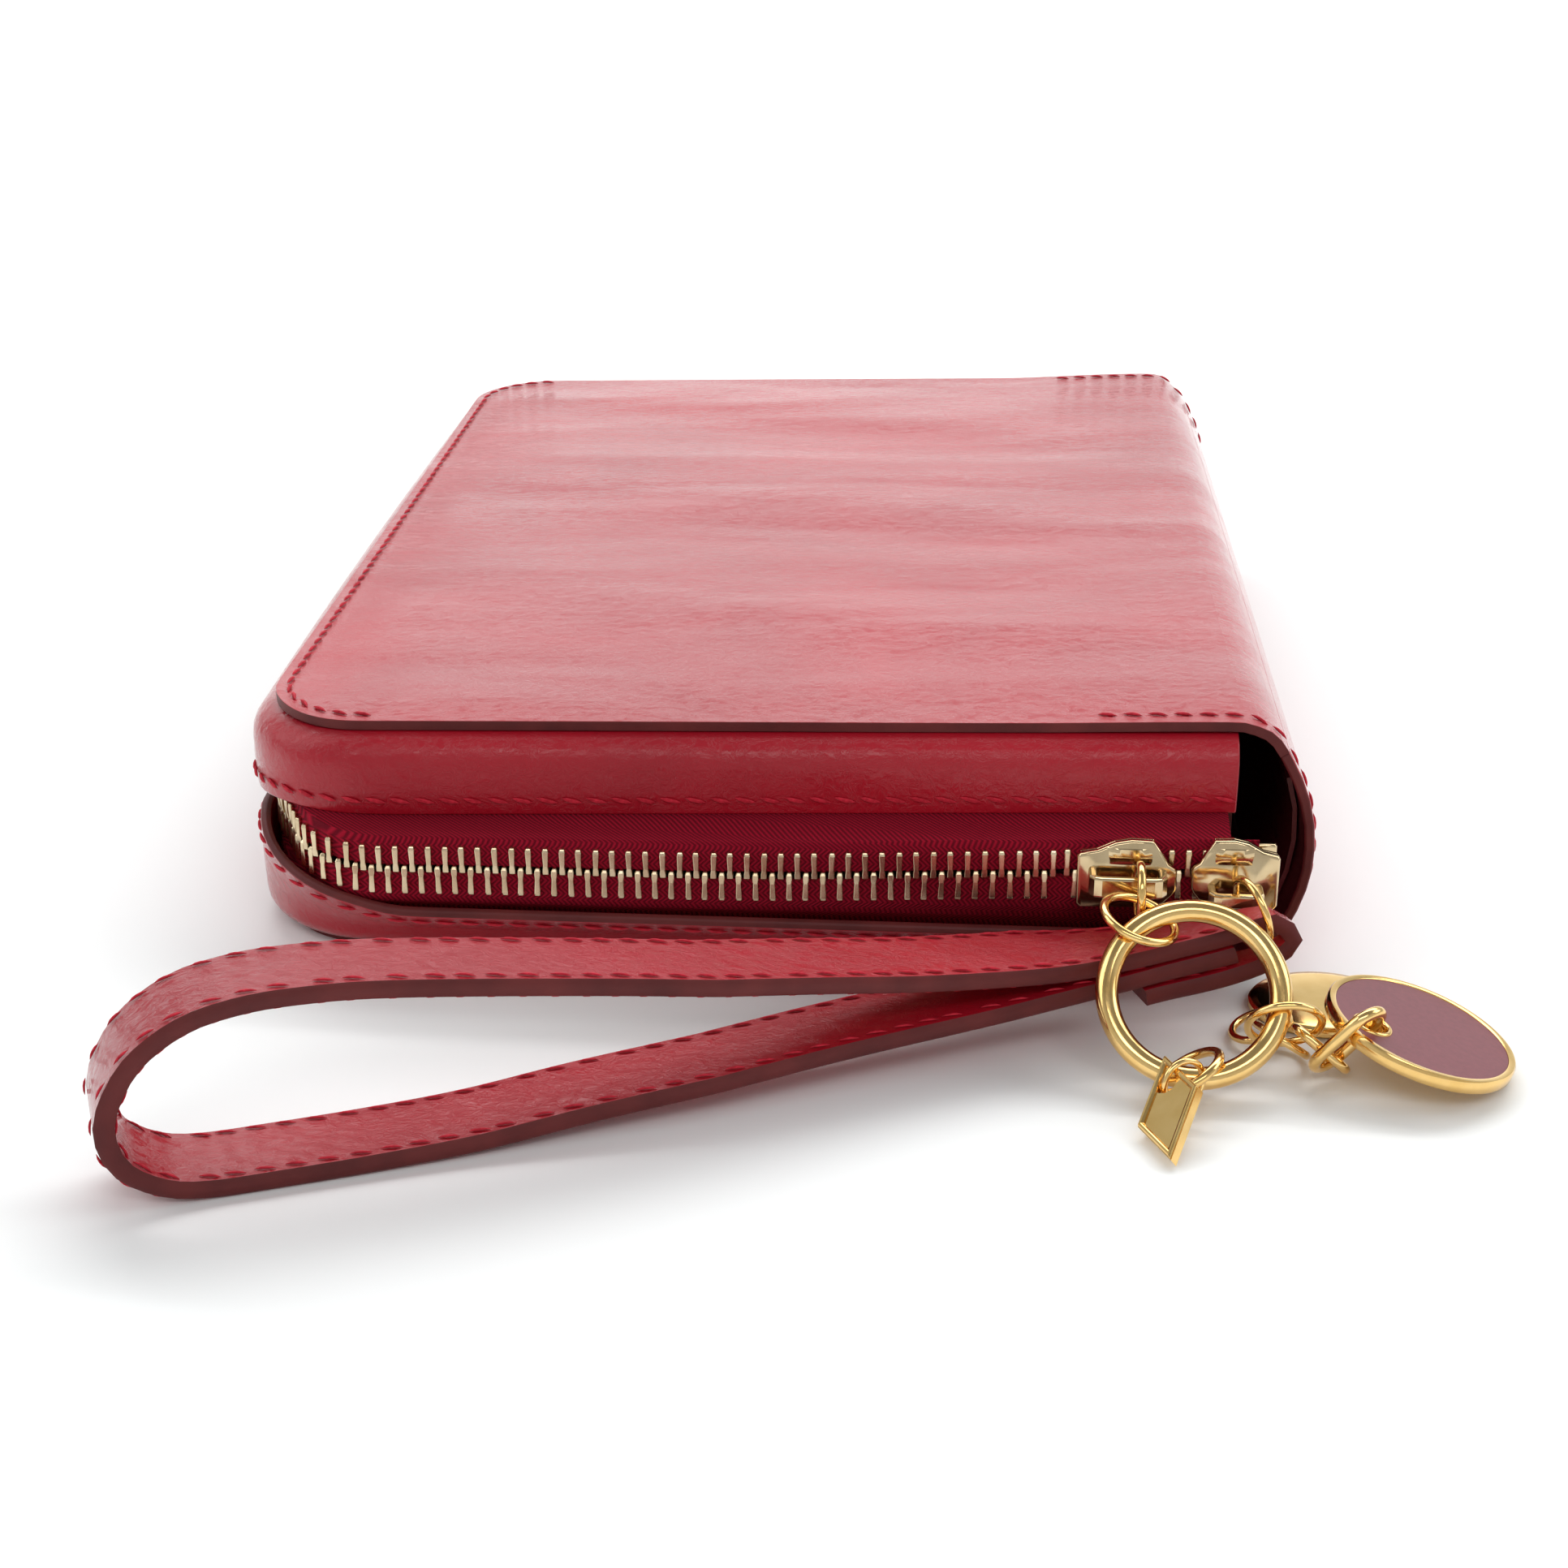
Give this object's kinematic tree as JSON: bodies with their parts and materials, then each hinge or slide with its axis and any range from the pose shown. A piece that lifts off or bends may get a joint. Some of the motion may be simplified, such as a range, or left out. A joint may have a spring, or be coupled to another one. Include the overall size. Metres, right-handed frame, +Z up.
{
  "type": "zip around wallet",
  "caption": "Large glossy zip around wallet with a wrist strap, key ring, tag and hanging charms; opens flat like a book.",
  "frame": {"origin": "centre of the wallet's bottom face, on the surface it lies on", "axes": "+X towards the spine, -Y towards the front run of the zip, +Z up"},
  "size_m": [0.1649, 0.2497, 0.0353],
  "materials": {
    "red": "gloss",
    "dark": "matt",
    "lining": "satin",
    "board": "matt",
    "pale": "satin",
    "gold": "polished",
    "enamel": "gloss"
  },
  "bodies": {
    "lower_half": {"bottom_cover": "red", "lower_band": "red", "lower_zip_tape": "dark", "lower_teeth": "pale", "lower_tail_tape": "dark", "lower_tail_teeth": "pale", "bottom_board": "board", "bottom_lining": "lining", "bottom_slip_pocket": "lining", "bottom_card_slot_1": "lining", "bottom_card_slot_2": "lining", "bottom_card_slot_3": "lining", "bottom_card_slot_4": "lining"},
    "spine": {"spine_cover": "red", "spine_lining": "lining", "coin_pocket_back": "lining", "coin_pocket_front": "lining", "coin_pocket_gusset": "lining", "coin_zip_lower_side": "dark", "coin_zip_upper_side": "dark"},
    "upper_half": {"top_cover": "red", "upper_band": "red", "upper_zip_tape": "dark", "upper_teeth": "pale", "upper_tail_tape": "dark", "upper_tail_teeth": "pale", "top_board": "board", "top_lining": "lining", "top_slip_pocket": "lining", "top_card_slot_1": "lining", "top_card_slot_2": "lining", "top_card_slot_3": "lining"},
    "slider_1": {"slider_1_body": "pale", "slider_1_bridge": "pale"},
    "slider_2": {"slider_2_body": "pale", "slider_2_bridge": "pale"},
    "pull_ring": {"pull_ring": "gold"},
    "joining_ring": {"joining_ring": "gold"},
    "key_ring": {"key_ring": "gold"},
    "tag_ring": {"tag_ring": "gold"},
    "tag_link": {"tag_link": "gold"},
    "tag": {"tag": "gold"},
    "charm_ring": {"charm_ring": "gold"},
    "chain_link_1": {"chain_link_1": "gold"},
    "chain_link_2": {"chain_link_2": "gold"},
    "coin_charm": {"coin_charm": "gold", "coin_enamel": "enamel"},
    "oval_charm_link": {"oval_charm_link": "gold"},
    "oval_charm_ring": {"oval_charm_ring": "gold"},
    "oval_charm": {"oval_charm": "gold"},
    "strap_ring": {"strap_ring": "gold"},
    "wrist_strap": {"wrist_strap": "red"},
    "coin_slider": {"coin_zip_slider": "gold"},
    "coin_pull": {"coin_zip_pull": "gold"}
  },
  "joints": [
    {"name": "spine_turn", "type": "hinge", "parent": "lower_half", "child": "spine", "pos_m": [0.0655, 0, 0.0047], "axis": [0, 1, 0], "range_deg": [0, 90]},
    {"name": "cover_turn", "type": "hinge", "parent": "spine", "child": "upper_half", "pos_m": [0.0655, 0, 0.0307], "axis": [0, 1, 0], "range_deg": [0, 90]},
    {"name": "slider_1_travel", "type": "slide", "parent": "lower_half", "child": "slider_1", "axis": [-0.9997, 0, -0.026], "range_m": [0, 0.08], "deforming": ["wrist_strap"]},
    {"name": "slider_2_travel", "type": "slide", "parent": "lower_half", "child": "slider_2", "axis": [-0.9997, 0, -0.026], "range_m": [0, 0.0012]},
    {"name": "pull_ring_turn", "type": "hinge", "parent": "slider_1", "child": "pull_ring", "pos_m": [0.0446, -0.1034, 0.0184], "axis": [-1, 0, 0], "range_deg": [0, 30]},
    {"name": "joining_ring_turn", "type": "hinge", "parent": "pull_ring", "child": "joining_ring", "pos_m": [0.0459, -0.10468, 0.01522], "axis": [0, 0.9939, 0.11], "range_deg": [-3, 3]},
    {"name": "key_ring_turn", "type": "hinge", "parent": "joining_ring", "child": "key_ring", "pos_m": [0.04391, -0.11365, 0.01714], "axis": [0.867, -0.375, -0.328], "range_deg": [-3, 3]},
    {"name": "tag_ring_turn", "type": "hinge", "parent": "key_ring", "child": "tag_ring", "pos_m": [0.04842, -0.12314, 0.00369], "axis": [0.9355, -0.2411, -0.2581], "range_deg": [-4, 4]},
    {"name": "tag_link_turn", "type": "hinge", "parent": "tag_ring", "child": "tag_link", "pos_m": [0.05338, -0.12647, 0.0056], "axis": [0.6861, 0.635, 0.355], "range_deg": [-2, 2]},
    {"name": "tag_swing", "type": "hinge", "parent": "tag_link", "child": "tag", "pos_m": [0.04861, -0.12792, 0.0045], "axis": [-0.5539, -0.254, 0.7929], "range_deg": [-5, 5]},
    {"name": "charm_ring_turn", "type": "hinge", "parent": "key_ring", "child": "charm_ring", "pos_m": [0.06232, -0.11783, 0.00938], "axis": [0.1871, 0.6702, 0.7182], "range_deg": [-3, 3]},
    {"name": "chain_link_1_turn", "type": "hinge", "parent": "charm_ring", "child": "chain_link_1", "pos_m": [0.06534, -0.11503, 0.00423], "axis": [0.8596, -0.2289, 0.4568], "range_deg": [-3, 3]},
    {"name": "chain_link_2_turn", "type": "hinge", "parent": "chain_link_1", "child": "chain_link_2", "pos_m": [0.07038, -0.11802, 0.00228], "axis": [0.5301, 0.5051, -0.6811], "range_deg": [-3, 3]},
    {"name": "coin_swing", "type": "hinge", "parent": "chain_link_2", "child": "coin_charm", "pos_m": [0.07328, -0.11685, 0.00676], "axis": [0.284, 0, 0.9588], "range_deg": [-4, 4]},
    {"name": "oval_charm_link_turn", "type": "hinge", "parent": "charm_ring", "child": "oval_charm_link", "pos_m": [0.06491, -0.11493, 0.00403], "axis": [0.9101, -0.176, 0.3751], "range_deg": [-3, 3]},
    {"name": "oval_charm_ring_turn", "type": "hinge", "parent": "oval_charm_link", "child": "oval_charm_ring", "pos_m": [0.06284, -0.10941, 0.00197], "axis": [-0.8403, 0, 0.5422], "range_deg": [-3, 3]},
    {"name": "oval_charm_lift", "type": "hinge", "parent": "oval_charm_ring", "child": "oval_charm", "pos_m": [0.0642, -0.1049, 0.0028], "axis": [0.6919, -0.722, 0], "range_deg": [0, 8]},
    {"name": "strap_ring_turn", "type": "hinge", "parent": "slider_2", "child": "strap_ring", "pos_m": [0.058, -0.1034, 0.017], "axis": [-1, 0, 0], "range_deg": [0, 3]},
    {"name": "wrist_strap_lift", "type": "hinge", "parent": "strap_ring", "child": "wrist_strap", "pos_m": [0.0608, -0.1054, 0.0129], "axis": [-0.3662, 0.9305, 0], "range_deg": [0, 3]},
    {"name": "coin_slider_travel", "type": "slide", "parent": "spine", "child": "coin_slider", "axis": [0, 1, 0], "range_m": [0, 0.11]},
    {"name": "coin_pull_turn", "type": "hinge", "parent": "coin_slider", "child": "coin_pull", "pos_m": [-0.04905, -0.0642, 0.0165], "axis": [0, 0, 1], "range_deg": [0, 90]}
  ],
  "couplings": [
    {"joint": "cover_turn", "follows": "spine_turn", "ratio": 1}
  ]
}
